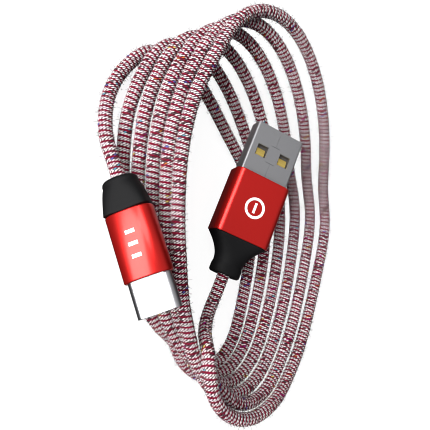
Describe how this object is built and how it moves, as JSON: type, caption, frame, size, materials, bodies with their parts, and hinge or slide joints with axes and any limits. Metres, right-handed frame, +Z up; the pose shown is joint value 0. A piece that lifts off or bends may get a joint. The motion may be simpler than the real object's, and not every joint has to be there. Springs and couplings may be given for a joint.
{
  "type": "charging cable",
  "caption": "Coiled charging cable with a red and white braided cord, a USB-A plug and a USB-C plug, each in a red metal sleeve with a black boot.",
  "frame": {"origin": "centre of the bounding box's bottom face, on the surface that the coil lies on", "axes": "+Z up from that surface, +Y along the coil's longest side, towards the end that the USB-A plug points to, +X towards the wide side of the coil"},
  "size_m": [0.0724, 0.0891, 0.0204],
  "materials": {
    "braid": "woven polyester braid, crimson and white with black threads",
    "red_aluminium": "anodised satin red",
    "plug_steel": "plated sheet steel",
    "inner_steel": "plated",
    "black_boot": "soft matt black",
    "black_plastic": "moulded",
    "tongue_plastic": "moulded",
    "white_plastic": "moulded",
    "mould_plastic": "moulded",
    "gold_contact": "gold plated",
    "white_print": "printed",
    "red_plastic": "wire insulation",
    "board_green": "solder mask"
  },
  "bodies": {
    "cord": {"braided_coil": "braid", "usb_a_lead": "braid", "usb_c_lead": "braid"},
    "usb_a_plug": {"usb_a_shell": "plug_steel", "usb_a_tongue": "tongue_plastic", "usb_a_contacts": "gold_contact", "usb_a_rear_block": "white_plastic", "usb_a_solder_joints": "inner_steel", "usb_a_rear_can": "inner_steel", "usb_a_crimp": "inner_steel", "usb_a_inner_mould": "mould_plastic", "usb_a_face_plate": "black_plastic", "usb_a_sleeve": "red_aluminium", "usb_a_mark": "white_print", "usb_a_boot": "black_boot", "usb_a_jacket_end": "black_plastic", "usb_a_power_wire": "red_plastic", "usb_a_ground_wire": "black_plastic", "usb_a_data_wires": "white_plastic"},
    "usb_c_plug": {"usb_c_shell": "plug_steel", "usb_c_housing": "black_plastic", "usb_c_upper_contacts": "gold_contact", "usb_c_lower_contacts": "gold_contact", "usb_c_latch_plate": "inner_steel", "usb_c_ground_springs": "inner_steel", "usb_c_board": "board_green", "usb_c_resistor": "black_plastic", "usb_c_rear_can": "inner_steel", "usb_c_inner_mould": "mould_plastic", "usb_c_end_ring": "black_plastic", "usb_c_sleeve": "red_aluminium", "usb_c_mark": "white_print", "usb_c_boot": "black_boot", "usb_c_jacket_end": "black_plastic", "usb_c_power_wire": "red_plastic", "usb_c_ground_wire": "black_plastic", "usb_c_data_wires": "white_plastic"}
  },
  "joints": [
    {"name": "usb_a_plug_lift", "type": "hinge", "parent": "cord", "child": "usb_a_plug", "pos_m": [-0.00742, -0.01538, 0.00664], "axis": [0.915, -0.4035, 0], "range_deg": [0, 15]},
    {"name": "usb_c_plug_lift", "type": "hinge", "parent": "cord", "child": "usb_c_plug", "pos_m": [-0.03341, 0.00604, 0.0083], "axis": [-0.989, -0.1478, 0], "range_deg": [0, 15]}
  ]
}
